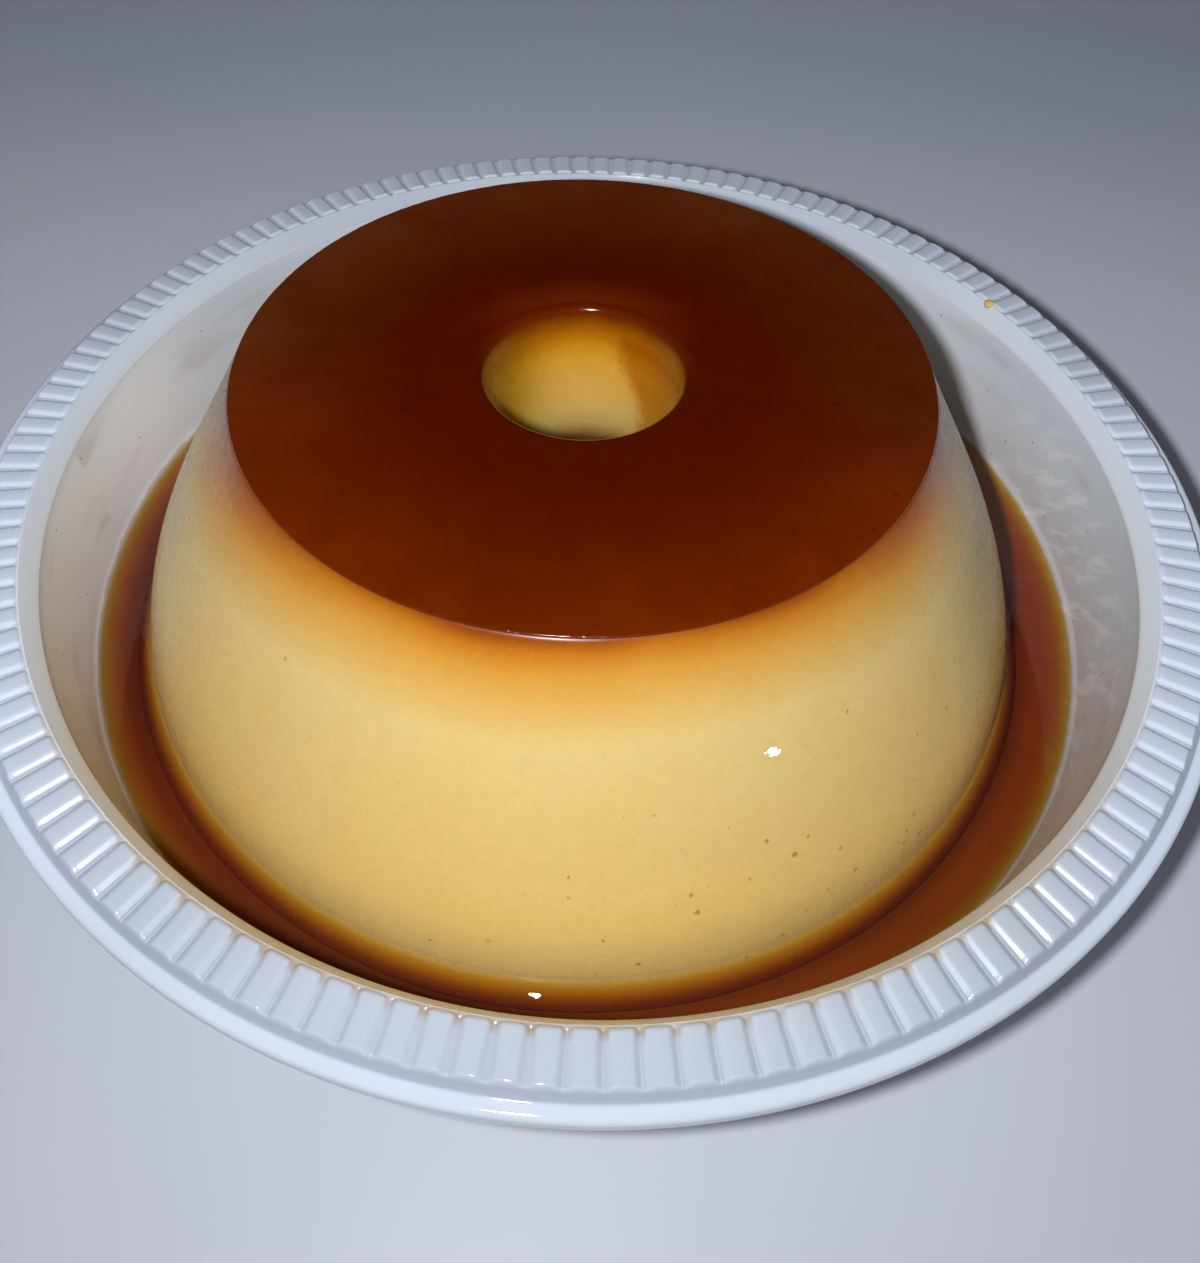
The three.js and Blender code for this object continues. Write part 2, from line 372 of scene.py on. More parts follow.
def dish_material():
    material, t = new_material("white_dish_plastic")
    place, x, y, z = t.millimetres()
    r = t.length(x, y)
    round_mm = t.times(t.direction(x, y), WALL_TOP_RADIUS)
    on_wall = t.plane(round_mm, z)
    cloud = t.noise(place, 0.035, 1.0, 0.55)
    colour = t.mix(cloud, tint(187, 194, 207), tint(194, 201, 214))

    # Custard film and painted reflection of the custard: tan in the valleys' mouths and along the wall's
    # edge, most of it in front.
    in_front = t.between(y, -55.0, -108.0, 0.03, 1.0)
    patchy = t.between(t.noise(place, 0.09, 2.0, 0.6), 0.3, 0.62)
    mouth_film_and_reflection = t.times(t.near(r, VALLEY_INNER_RADIUS, 3.0, 0.8), t.near(z, VALLEY_Z, 0.4, 0.0))
    mouth_film_and_reflection = t.times(mouth_film_and_reflection, t.near(r, VALLEY_INNER_RADIUS, -0.5, 0.1))
    mouth_film_and_reflection = t.times(mouth_film_and_reflection, in_front, t.between(patchy, 0.0, 1.0, 0.45, 1.0))
    colour = t.mix(t.times(mouth_film_and_reflection, 0.8), colour, tint(172, 148, 116))
    # Painted light: the ledge lighter at the sides; in front, a painted reflection of the custard on it.
    ledge = t.times(t.near(r, VALLEY_INNER_RADIUS, 0.5, 0.0), t.near(r, WALL_TOP_RADIUS, -0.1, 0.3))
    lit = t.times(ledge, t.between(t.abs(x), 60.0, 110.0))
    colour = t.mix(t.times(lit, 0.3), colour, tint(210, 218, 228))
    colour = t.mix(t.times(ledge, in_front, 0.4), colour, tint(200, 190, 184))
    # Along the wall's top edge: sauce film and a painted highlight on its rounding.
    edge_film_and_highlight = t.times(t.near(r, WALL_TOP_RADIUS, 0.55, 0.15), t.near(z, WALL_TOP_Z, -1.0, -0.2))
    edge_film_and_highlight = t.times(edge_film_and_highlight, t.between(y, 0.0, -90.0, 0.12, 0.35))
    colour = t.mix(t.times(edge_film_and_highlight, t.between(patchy, 0.0, 1.0, 0.5, 1.0)), colour, tint(206, 178, 140))

    # The inner side of the shell: within the rounded corner and the leaning wall above it.
    above = t.math("MAXIMUM", t.minus(z, SHELL + CORNER_RADIUS), 0.0)
    out_by = t.minus(t.minus(r, CORNER_CENTRE), t.times(above, WALL_LEAN))
    below = t.math("MAXIMUM", t.minus(SHELL + CORNER_RADIUS, z), 0.0)
    from_corner = t.length(t.math("MAXIMUM", out_by, 0.0), below)
    inner = t.near(from_corner, CORNER_RADIUS, 1.2, 0.8)
    inside = t.times(t.near(r, WALL_TOP_RADIUS, 0.3, -0.4), inner)

    # Painted reflection of the pudding: warmer towards the pool at the right. Painted light: brighter plastic
    # at the left.
    painted_warm_reflection = t.times(t.between(z, 30.0, 9.0), t.between(x, 70.0, 105.0), inside)
    colour = t.mix(t.times(painted_warm_reflection, 0.3), colour, tint(176, 152, 142))
    painted_light_left_wall = t.times(t.between(x, -60.0, -108.0), t.between(y, 70.0, 20.0), inside)
    colour = t.mix(t.times(painted_light_left_wall, 0.95), colour, tint(236, 233, 238))
    # Painted warm bounce light from the pudding: low on the wall, more at the sides, and faintly over the
    # whole inner side.
    low = t.times(t.between(z, 36.0, 9.0), inside)
    side = t.between(t.abs(x), 40.0, 105.0)
    low = t.times(low, t.between(side, 0.0, 1.0, 0.4, 1.0))
    colour = t.mix(t.times(low, 0.2), colour, tint(180, 160, 150))
    colour = t.mix(t.times(inside, 0.15), colour, tint(196, 192, 178))
    smear = t.noise(t.scaled(on_wall, (0.022, 0.09, 1.0)), 1.0, 2.0, 0.6)
    colour = t.mix(t.times(t.between(smear, 0.5, 0.75, 0.0, 0.28), inside), colour, tint(150, 128, 120))

    # Pale streaks of dried sugar on the right of the wall.
    right = t.times(t.between(x, 92.0, 112.0), t.between(y, 55.0, 20.0))
    turned = {"Vector": on_wall, "Angle": STREAK_SLANT}
    slanted = t.add("ShaderNodeVectorRotate", turned, rotation_type="Z_AXIS").outputs[0]
    streak = t.noise(t.scaled(slanted, (0.07, 0.24, 1.0)), 1.0, 3.0, 0.62)
    streak = t.times(t.between(streak, 0.47, 0.66), right, inside)
    streak = t.times(streak, t.between(z, 37.0, 30.0))
    colour = t.mix(t.times(streak, 0.5), colour, tint(224, 222, 224))

    # Where the sauce stood higher: a brown film at the left, a pale line at the right.
    stood = t.plus(z, t.times(t.off_middle(t.noise(on_wall, 0.12, 3.0)), 2.2))
    film = t.times(t.near(stood, SAUCE_Z, 1.6, 0.6), t.between(x, -80.0, -100.0), inside)
    colour = t.mix(t.times(film, 0.6), colour, tint(150, 122, 82))
    film = t.times(t.near(stood, SAUCE_Z, 0.9, 1.3), t.near(stood, SAUCE_Z, 2.4, 1.9), right, inside)
    colour = t.mix(t.times(film, 0.55), colour, tint(206, 200, 204))

    # Below the sauce: stained where the wall rises out of it; painted shade along the custard's foot.
    under = t.times(t.near(z, SAUCE_Z, 0.9, -0.6), t.near(r, CORNER_CENTRE, -0.1, 3.9), inner)
    colour = t.mix(t.times(under, 0.6), colour, tint(142, 116, 88))
    from_pudding = t.length(t.minus(x, PUDDING_X), y)
    painted_shade_toe = t.times(t.near(from_pudding, FOOT_RADIUS, 5.5, 0.0), t.near(z, SAUCE_Z, -2.0, -5.0))
    colour = t.mix(t.times(painted_shade_toe, inner), colour, (0.5, 0.46, 0.44, 1), "MULTIPLY")

    # Painted light: lighter in front and at the sides, darker behind, on wall, ledge, ribs and lip.
    painted_light_to_front = t.between(y, 90.0, -40.0, 0.8, 1.33, smooth=False)
    painted_light_to_front = t.times(painted_light_to_front, t.between(y, -95.0, -118.0, 1.0, 0.84))
    colour = t.mix(ledge, colour, t.grey(painted_light_to_front), "MULTIPLY")
    down_wall = t.times(inside, t.near(z, SAUCE_Z, 0.4, 1.6))
    painted_light_to_front = t.between(y, 45.0, -85.0, 0.9, 1.3, smooth=False)
    colour = t.mix(down_wall, colour, t.grey(painted_light_to_front), "MULTIPLY")
    painted_light_at_side = t.times(t.between(t.abs(x), 70.0, 118.0), t.between(y, 45.0, 5.0))
    on_ribs = t.near(r, VALLEY_INNER_RADIUS, 0.1, 0.5)
    colour = t.mix(t.times(on_ribs, painted_light_at_side), colour, (1.2, 1.22, 1.26, 1), "MULTIPLY")
    on_lip = t.times(t.near(r, FLANGE_FOOT_RADIUS, 0.0, 0.7), t.between(y, 60.0, 0.0))
    colour = t.mix(on_lip, colour, (1.18, 1.18, 1.16, 1), "MULTIPLY")

    # A few tiny specks.
    speck = t.between(t.cells(on_wall, 0.045), 0.018, 0.01)
    colour = t.mix(t.times(speck, inside, 0.6), colour, tint(120, 70, 60))

    # Painted shade: darker along every valley, and on the step outside the ribs.
    phase = t.math("FRACT", t.times(t.direction(x, y), RIB_COUNT / (2 * math.pi)))
    painted_valley_shade = t.between(t.abs(t.off_middle(phase)), 0.36, 0.46)
    painted_valley_shade = t.times(painted_valley_shade, t.near(r, VALLEY_INNER_RADIUS, 0.5, 1.2))
    painted_valley_shade = t.times(painted_valley_shade, t.near(r, VALLEY_OUTER_RADIUS, 0.6, -0.2))
    colour = t.mix(t.times(painted_valley_shade, 0.4), colour, (0.74, 0.77, 0.82, 1), "MULTIPLY")
    painted_step_shade = t.times(t.near(r, VALLEY_OUTER_RADIUS, 0.3, 0.7), t.near(r, FLANGE_FOOT_RADIUS, 0.3, -0.1))
    colour = t.mix(t.times(painted_step_shade, 0.5), colour, (0.72, 0.72, 0.74, 1), "MULTIPLY")

    # Glossy, but worn dull on the ribs and satin inside.
    grain = t.noise(place, 0.6, 1.0, 0.6)
    ribs = t.times(t.near(r, VALLEY_INNER_RADIUS, 0.0, 1.2), t.near(r, VALLEY_OUTER_RADIUS, -0.3, -1.1))
    worn = t.plus(t.times(inside, 0.16), t.times(ribs, 0.2))
    rough = t.plus(t.between(grain, 0.3, 0.7, 0.045, 0.075), worn)
    relief = t.noise(place, 0.1, 1.0, 0.5)
    t.surface(t.skin(colour, rough, 1.49, t.bump(relief, 0.3, 0.0002)))
    return material


def depth_below_top(t, x, y, z):
    """How far a place on the pudding lies below the plane of its top, in millimetres."""
    lift = t.plus(t.times(x, TOP_SLOPE_X), t.times(y, TOP_SLOPE_Y))
    return t.minus(t.plus(lift, TOP_Z), z)


# Down the hole, from dark caramel to pale custard, then painted shade towards the bottom: depth below the
# top, and colour.
HOLE_SHADES = [
    (0.0, tint(84, 21, 0)),
    (1.6, tint(98, 34, 1)),
    (4.0, tint(140, 74, 3)),
    (7.5, tint(174, 104, 6)),
    (11.0, tint(198, 136, 26)),
    (15.0, tint(207, 154, 52)),
    (24.0, tint(208, 164, 80)),
    (29.0, tint(200, 166, 88)),
    (33.0, tint(180, 150, 86)),
    (38.0, tint(100, 66, 20)),
    (46.0, tint(62, 30, 6)),
]
HOLE_DEEPEST = HOLE_SHADES[-1][0]


def from_hole(t, x, y):
    """Distance from the hole's axis at the top, and the direction in degrees (right 0, back 90)."""
    dx = t.minus(x, PUDDING_X + LEAN_X)
    dy = t.minus(y, HOLE_LEAN_Y)
    return t.length(dx, dy), t.times(t.direction(dx, dy), 180 / math.pi)


def hole_colour(t, place, depth, direction):
    """Colour of the hole's wall: the shades above, olive at the left, and stained by caramel at the
    right down to a slanting line, with specks along it."""
    wander = t.off_middle(t.noise(place, 0.16, 3.0, 0.6))
    deep = t.plus(depth, t.times(wander, 1.6))
    colour = t.ramp(t.math("DIVIDE", deep, HOLE_DEEPEST, clamp=True),
                    [(depth_at / HOLE_DEEPEST, shade) for depth_at, shade in HOLE_SHADES])
    slant = t.between(depth, 9.0, 27.0, 70.0, 49.0, smooth=False)
    slant = t.plus(slant, t.times(wander, 16.0))
    stain = t.between(t.minus(direction, slant), 8.0, -6.0)
    stain = t.times(stain, t.between(direction, -40.0, 10.0, 0.3, 1.0))
    fresh = t.between(depth, 5.0, 9.0)
    colour = t.mix(t.times(stain, fresh), colour, (0.72, 0.5, 0.16, 1), "MULTIPLY")
    left = t.times(t.between(direction, 104.0, 158.0), fresh)
    colour = t.mix(left, colour, (0.64, 0.64, 0.12, 1), "MULTIPLY")
    flat = t.plane(t.times(direction, HOLE_DEGREE), depth)
    near = t.between(t.abs(t.plus(t.minus(direction, slant), 3.0)), 12.0, 4.0)
    speck = t.times(t.between(t.cells(flat, 0.55), 0.2, 0.1), near, fresh)
    return t.mix(t.times(speck, 0.55), colour, tint(150, 74, 10))


# Specks on the flank: azimuth in degrees, height, size in millimetres and strength.
SPECKS = [
    (-128.7, 54.5, 0.45, 0.6),
    (-85.5, 20.3, 0.4, 0.7),
    (-75.4, 24.7, 0.7, 0.6),
    (-76.1, 28.7, 0.5, 0.6),
    (-54.0, 51.6, 0.45, 0.6),
    (-89.4, 34.2, 0.4, 0.7),
    (-103.8, 14.4, 0.4, 0.7),
    (-97.5, 18.0, 0.9, 0.3),
    (-80.0, 45.0, 0.3, 0.5),
    (-62.0, 33.0, 0.35, 0.6),
    (-58.0, 27.0, 0.4, 0.5),
]


def custard_material():
    material, t = new_material("baked_custard")
    place, x, y, z = t.millimetres()
    depth = depth_below_top(t, x, y, z)
    from_middle = t.length(t.minus(x, PUDDING_X), y)
    front = t.times(t.math("DIVIDE", y, from_middle), -1.0)
    across = t.math("DIVIDE", t.minus(x, PUDDING_X), from_middle)
    round_mm = t.times(t.direction(t.minus(x, PUDDING_X), y), UNROLLED_RADIUS)
    flat = t.plane(round_mm, z)

    # Soaked with caramel near the top, less so at the sides. Further down, the ramp paints light and shade on
    # the flank: lighter low down, darker again near the foot.
    wander = t.noise(place, 0.03, 2.0, 0.5)
    soak = t.plus(t.between(front, 0.9, 0.6, 1.0, 0.45), t.between(front, 0.42, 0.0, 0.0, 0.6))
    uneven = t.plus(depth, t.times(t.off_middle(wander), 5.0))
    near_top = t.times(t.math("MINIMUM", uneven, SOAKED_DEPTH), t.minus(soak, 1.0))
    share = t.math("DIVIDE", t.plus(uneven, near_top), SHADED_DEPTH, clamp=True)
    colour = t.ramp(share, [
        (0.0, tint(148, 66, 10)),
        (0.035, tint(196, 117, 24)),
        (0.09, tint(216, 152, 57)),
        (0.17, tint(222, 175, 92)),
        (0.27, tint(226, 196, 127)),
        (0.45, tint(222, 191, 121)),
        (0.61, tint(219, 187, 117)),
        (0.79, tint(229, 195, 118)),
        (1.0, tint(220, 188, 118)),
    ])

    # Faint streaks that run down, and cloudy unevenness.
    streaks = t.noise(t.scaled(flat, (0.16, 0.012, 1.0)), 1.0, 2.0, 0.6)
    colour = t.mix(t.between(streaks, 0.45, 0.75, 0.0, 0.12), colour, (0.94, 0.86, 0.66, 1), "MULTIPLY")
    cloud = t.noise(place, 0.055, 2.0, 0.55)
    colour = t.mix(t.between(cloud, 0.35, 0.7, 0.0, 0.3), colour, (1.0, 0.95, 0.84, 1), "MULTIPLY")

    # Greyish painted reflection of the dish's wall at the sides below the top edge, with small drawn-out
    # pits.
    skin = t.times(t.between(t.abs(across), 0.84, 0.99), t.between(depth, 22.0, 2.0))
    colour = t.mix(t.times(skin, 0.55), colour, tint(178, 150, 138))
    pit = t.between(t.cells(t.scaled(flat, (0.62, 0.3, 1.0)), 1.0), 0.22, 0.1)
    pit = t.times(pit, t.between(t.noise(place, 0.13, 2.0), 0.46, 0.58))
    pit = t.times(pit, t.between(across, -0.8, -0.9), t.between(front, 0.0, 0.2))
    pit = t.times(pit, t.between(depth, 15.0, 9.0))
    colour = t.mix(t.times(pit, 0.55), colour, tint(126, 84, 66))

    # Painted light: paler at the left. Painted shade: a darker outline at the right.
    pale = t.times(t.between(across, -0.8, -0.98), t.between(depth, 14.0, 30.0))
    colour = t.mix(t.times(pale, 0.5), colour, tint(232, 214, 172))
    turned = t.times(t.between(across, 0.8, 0.97), t.between(depth, 12.0, 30.0))
    colour = t.mix(t.times(turned, 0.85), colour, (0.72, 0.69, 0.63, 1), "MULTIPLY")

    # Specks of vanilla and burnt sugar, most of them low and to the right.
    where = t.times(t.between(across, -0.1, 0.35, 0.35, 1.0), t.between(depth, 18.0, 30.0))
    where = t.times(where, t.between(t.noise(flat, 0.05, 2.0), 0.42, 0.6, 0.25, 1.0))
    size = t.between(t.noise(flat, 0.31, 1.0), 0.3, 0.7, 0.02, 0.062)
    speck = t.between(t.minus(t.cells(flat, 0.115), t.times(size, where)), 0.012, -0.008)
    colour = t.mix(t.times(speck, 0.7), colour, tint(176, 96, 20))
    dots = t.times(t.between(t.cells(flat, 0.42), 0.07, 0.03), t.between(t.noise(flat, 0.07, 2.0), 0.5, 0.62))
    dots = t.times(dots, t.between(depth, 14.0, 26.0))
    colour = t.mix(t.times(dots, 0.35), colour, tint(190, 120, 40))

    # The larger specks, each at its own place.
    torn = t.off_middle(t.noise(flat, 1.1, 2.0))
    for azimuth, height, size, shade in SPECKS:
        off = t.length(t.minus(round_mm, math.radians(azimuth) * UNROLLED_RADIUS), t.minus(z, height))
        off = t.plus(off, t.times(torn, size * 3.2))
        colour = t.mix(t.between(off, size, size * 0.45, 0.0, shade), colour, tint(158, 82, 20))

    # Tide line of sauce just above the pool, the stained foot below it, and painted shade low on the toe.
    tide = t.plus(z, t.times(t.off_middle(t.noise(flat, 0.1, 2.0)), 1.5))
    colour = t.mix(t.near(tide, SAUCE_Z, 3.5, 0.0, 0.0, 0.3), colour, tint(176, 138, 92))
    colour = t.mix(t.near(z, SAUCE_Z, 1.0, -1.0, 0.0, 0.5), colour, tint(150, 114, 74))
    # Painted shade on the toe under the sauce.
    colour = t.mix(t.near(z, SAUCE_Z, -2.0, -5.5), colour, (0.5, 0.46, 0.44, 1), "MULTIPLY")

    # Down the hole.
    from_axis, direction = from_hole(t, x, y)
    in_hole = t.near(from_axis, HOLE_TOP_RADIUS, 4.9, 3.4)
    colour = t.mix(in_hole, colour, hole_colour(t, place, depth, direction))

    # Satin skin, smoother on the small wet blemish that glints.
    spot, facet = mirror_facet(t, place, **BLEMISH)
    grain = t.noise(place, 0.35, 1.0, 0.6)
    rough = t.between(grain, 0.3, 0.7, 0.26, 0.3)
    rough = t.minus(rough, t.times(spot, 0.12))
    ripple = t.noise(t.scaled(flat, (0.3, 0.1, 1.0)), 1.0, 1.0, 0.5)
    relief = t.times(ripple, 0.008)
    normal = t.bump(facet, 1.0, MM, t.bump(relief, 0.4, 0.0004))
    t.surface(t.skin(colour, rough, 1.38, normal, Subsurface_Weight=0.45,
                     Subsurface_Radius=(1.0, 0.62, 0.3), Subsurface_Scale=0.0035))
    return material


def drop_material():
    material, t = new_material("dried_custard")
    place = t.millimetres()[0]
    colour = t.mix(t.noise(place, 0.8, 3.0), tint(176, 150, 74), tint(206, 184, 110))
    rough = t.between(t.noise(place, 1.6, 2.0), 0.3, 0.7, 0.12, 0.22)
    t.surface(t.skin(colour, rough, 1.4, t.bump(t.noise(place, 0.9, 2.0), 0.4, 0.0002)))
    return material


def caramel_material():
    material, t = new_material("caramel_layer")
    place, x, y, z = t.millimetres()
    depth = depth_below_top(t, x, y, z)
    from_axis, direction = from_hole(t, x, y)
    from_middle = t.length(t.minus(x, PUDDING_X + LEAN_X), y)

    # Thick and dark in the middle, thinner and browner towards the rim.
    # The rim is lighter and redder in front, greyer behind: partly the layer's own tone, partly painted
    # light.
    rim = t.mix(t.between(y, -48.0, 18.0), tint(113, 39, 1), tint(101, 47, 18))
    to_right = t.times(t.between(x, 20.0, 66.0), t.between(y, -44.0, -8.0))
    rim = t.mix(t.times(to_right, 0.8), rim, tint(86, 34, 8))
    outward = t.math("POWER", t.between(from_middle, 36.0, 73.0, smooth=False), 1.35)
    cloud = t.noise(place, 0.04, 3.0, 0.62, 0.4)
    outward = t.times(outward, t.between(cloud, 0.25, 0.75, 0.7, 1.3))
    colour = t.mix(outward, tint(82, 19, 0), rim)
    glow = t.times(t.between(from_axis, 33.0, 23.5), t.between(direction, 15.0, 75.0))
    glow = t.times(glow, t.between(direction, 165.0, 115.0))
    colour = t.mix(t.times(glow, 0.85), colour, tint(108, 38, 1))
    mottle = t.noise(place, 0.11, 3.0, 0.65)
    colour = t.mix(t.between(mottle, 0.35, 0.7, 0.0, 0.5), colour, (0.84, 0.74, 0.62, 1), "MULTIPLY")
    grain = t.noise(place, 0.9, 2.0, 0.7)
    colour = t.mix(t.between(grain, 0.35, 0.65, 0.0, 0.3), colour, (1.16, 1.12, 1.0, 1), "MULTIPLY")
    dark = t.times(t.between(t.cells(place, 0.16, "3D"), 0.14, 0.05), t.between(cloud, 0.4, 0.6))
    colour = t.mix(t.times(dark, 0.45), colour, tint(52, 12, 0))

    # The hole's rounded edge.
    colour = t.mix(t.between(from_axis, 23.4, 22.2), colour, hole_colour(t, place, depth, direction))

    # The outer side is as thick as the layer, and lets the custard's colour through at its foot.
    side = t.times(t.between(depth, 0.12, 0.42), t.between(from_middle, 60.0, 70.0))
    colour = t.mix(side, colour, tint(150, 66, 10))

    rough = t.between(t.noise(place, 0.4, 1.0), 0.3, 0.7, 0.07, 0.13)
    waves = t.noise(place, 0.045, 1.0, 0.4)
    brim = t.times(t.between(depth, 0.02, 0.1), t.between(from_middle, 66.0, 70.0))
    relief = t.plus(waves, t.times(t.noise(place, 0.9, 1.0), brim, 2.0))
    t.surface(t.skin(colour, rough, 1.4, t.bump(relief, 0.25, 0.0003)))
    return material


def syrup_material():
    """Clear liquid with a brown volume; diffuse and shadow rays pass its surface unbent."""
    material, t = new_material("caramel_syrup")
    _, facet = mirror_facet(t, t.millimetres()[0], **FOOT_GLINT)
    liquid = t.skin((1, 1, 1, 1), 0.03, 1.42, t.bump(facet, 1.0, MM), Transmission_Weight=0.995)
    clear = t.add("ShaderNodeBsdfTransparent").outputs[0]
    path = t.add("ShaderNodeLightPath").outputs
    surface = liquid
    for ray in ("Is Diffuse Ray", "Is Shadow Ray"):
        surface = t.add("ShaderNodeMixShader", {0: path[ray], 1: surface, 2: clear}).outputs[0]
    absorb = t.add("ShaderNodeVolumeAbsorption", {"Color": (0.93, 0.79, 0.0, 1), "Density": 1 / MM})
    t.surface(surface, absorb.outputs[0])
    return material


def floor_material():
    material, t = new_material("pale_table")
    place, _, y, _ = t.millimetres()
    cloud = t.noise(place, 0.006, 3.0, 0.5)
    colour = t.mix(cloud, tint(180, 183, 194), tint(189, 190, 200))
    # Painted shade: the table darker further behind.
    colour = t.mix(t.between(y, 60.0, 320.0), colour, (0.8, 0.85, 0.88, 1), "MULTIPLY")
    shader = t.add("ShaderNodeBsdfPrincipled", {"Base Color": colour, "Roughness": 0.45, "IOR": 1.45})
    t.surface(shader.outputs[0])
    return material


# ---------------------------------------------------------------- pudding shapes

def bezier(points, t):
    a, b, c, d = (np.array(p, float) for p in points)
    t = np.asarray(t)[:, None]
    return (1 - t) ** 3 * a + 3 * (1 - t) ** 2 * t * b + 3 * (1 - t) * t * t * c + t ** 3 * d


FLANK = bezier(
    [
        (WATERLINE_RADIUS, SAUCE_Z),
        (WATERLINE_RADIUS - FLANK_FOOT_LEAN, SAUCE_Z + FLANK_REACH),
        (TOP_RADIUS + FLANK_TOP_LEAN, TOP_Z - FLANK_REACH),
        (TOP_RADIUS, TOP_Z),
    ],
    np.linspace(0, 1, 400),
)


def flank_radius(z):
    return float(np.interp(z, FLANK[:, 1], FLANK[:, 0]))


def hole_radius(z):
    rise = (z - SHELL) / (CARAMEL_SKIRT_Z - SHELL)
    return HOLE_FOOT_RADIUS + (HOLE_TOP_RADIUS - HOLE_FOOT_RADIUS) * rise


HOLE_REACH = HOLE_TOP_RADIUS + HOLE_EDGE_ROUND


def settle(ring):
    """Lean and slope of the settled pudding, and its place in the dish."""
    out = ring.copy()
    rise = np.maximum(0, ring[:, 2] - SAUCE_Z) / (TOP_Z - SAUCE_Z)
    away = np.clip((np.hypot(ring[:, 0], ring[:, 1]) - HOLE_REACH) / (TOP_RADIUS - HOLE_REACH - 12), 0, 1)
    out[:, 1] += HOLE_LEAN_Y * rise * (1 - away)
    slope = TOP_SLOPE_X * out[:, 0] + TOP_SLOPE_Y * out[:, 1]
    out[:, 0] += LEAN_X * rise + PUDDING_X
    out[:, 2] += slope * rise * rise
    return out


PUDDING_SIDES = 288
pudding_angles = np.linspace(0, 2 * math.pi, PUDDING_SIDES, endpoint=False)

# Custard: up the outside from the foot, over its hidden top, and down the hole. Its foot is a hair
# below the dish's floor, and its seat a hair below the caramel, so that no faces share a place.
FOOT_Z = 1.95
EDGE_DEPTH = 0.35
EDGE_WIDTH = 1.5
SEAT_GAP = 0.02
SKIRT_GAP = 0.005
foot = bezier([(FOOT_RADIUS, FOOT_Z), (FOOT_RADIUS - 1.2, 3.4), (WATERLINE_RADIUS + 1.5, 5.9),
               (WATERLINE_RADIUS, SAUCE_Z)], np.linspace(0, 1, 14))
foot = [tuple(point) for point in foot]
heights = SAUCE_Z + (TOP_Z - EDGE_DEPTH - SAUCE_Z) * np.linspace(0, 1, 64)[1:]
seat_z = TOP_Z - CARAMEL_THICKNESS - SEAT_GAP
skirt_radius = HOLE_TOP_RADIUS + CARAMEL_THICKNESS
hole_heights = [CARAMEL_SKIRT_Z - SKIRT_GAP, *np.linspace(CARAMEL_SKIRT_Z - 0.04, 3.0, 48)]
custard_outline = [(HOLE_FOOT_RADIUS, FOOT_Z), (60.0, FOOT_Z), (FOOT_RADIUS - 2, FOOT_Z), *foot]
custard_outline += [(flank_radius(z), z) for z in heights]
custard_outline += [
    (TOP_RADIUS - EDGE_WIDTH, TOP_Z - EDGE_DEPTH - SEAT_GAP),
    (TOP_RADIUS - 4, seat_z),
    (45.0, seat_z),
    (HOLE_REACH, seat_z),
    (skirt_radius + SEAT_GAP, seat_z - 0.5),
    (skirt_radius + SEAT_GAP, CARAMEL_SKIRT_Z - SKIRT_GAP),
]
custard_outline += [(hole_radius(z), z) for z in hole_heights]
custard_rings = revolved(custard_outline, pudding_angles, settle)
make_piece("custard_ring", custard_rings, True, custard_material(), ["custard"])

# Caramel layer: over the top from its outer edge, round into the hole, and back below. Its edge is
# slightly uneven, which breaks the light along it into small glints.
EDGE_SIDES = 4 * PUDDING_SIDES
edge_angles = np.linspace(0, 2 * math.pi, EDGE_SIDES, endpoint=False)


def uneven_edge(ring):
    """The sharp edge of the caramel, with small waves across it."""
    out = settle(ring)
    for point in out:
        a = math.atan2(point[1], point[0])
        wave = noise.noise(Vector((math.cos(a) * 30, math.sin(a) * 30, point[2] * 2)))
        wave += 0.6 * noise.noise(Vector((math.cos(a) * 80, math.sin(a) * 80, point[2] * 3 + 9)))
        point[2] -= 0.07 * abs(wave)
        point[:2] *= 1 - 0.0009 * abs(wave)
    return out


outer_edge = rounded([(flank_radius(TOP_Z - EDGE_DEPTH), TOP_Z - EDGE_DEPTH), (TOP_RADIUS, TOP_Z),
                      (TOP_RADIUS - 2, TOP_Z)], [0.22], 5)
caramel_rings = revolved(outer_edge[:1], edge_angles, settle)
caramel_rings += revolved(outer_edge[1:], edge_angles, uneven_edge)
caramel_outline = line(outer_edge[-1], (HOLE_REACH, TOP_Z), 26)
caramel_outline += arc(HOLE_REACH, TOP_Z - HOLE_EDGE_ROUND, HOLE_EDGE_ROUND, 90, 180, 12)[1:]
caramel_outline += line(caramel_outline[-1], (hole_radius(CARAMEL_SKIRT_Z), CARAMEL_SKIRT_Z + 0.03), 4)
caramel_outline += [
    (hole_radius(CARAMEL_SKIRT_Z), CARAMEL_SKIRT_Z),
    (skirt_radius, CARAMEL_SKIRT_Z),
    (skirt_radius, TOP_Z - 2.6),
    (HOLE_REACH, TOP_Z - CARAMEL_THICKNESS),
    (TOP_RADIUS - 4, TOP_Z - CARAMEL_THICKNESS),
]
caramel_rings += revolved(caramel_outline, pudding_angles, settle)
caramel_rings += revolved([(TOP_RADIUS - EDGE_WIDTH, TOP_Z - EDGE_DEPTH)], edge_angles, settle)
make_piece("caramel_layer", caramel_rings, True, caramel_material(), ["caramel_top"])

# ---------------------------------------------------------------- dish

RIB_STEPS = np.array([0.0, 0.12, 0.2, 0.24, 0.28, 0.32, 0.37, 0.42, 0.47, 0.5])
RIB_STEPS = np.concatenate([RIB_STEPS, 1 - RIB_STEPS[-2:0:-1]])
rib_angles = ((np.arange(RIB_COUNT)[:, None] + 0.5 + RIB_STEPS[None, :]) / RIB_COUNT * 2 * math.pi).ravel()
plain_angles = rib_angles[::len(RIB_STEPS) // 2]

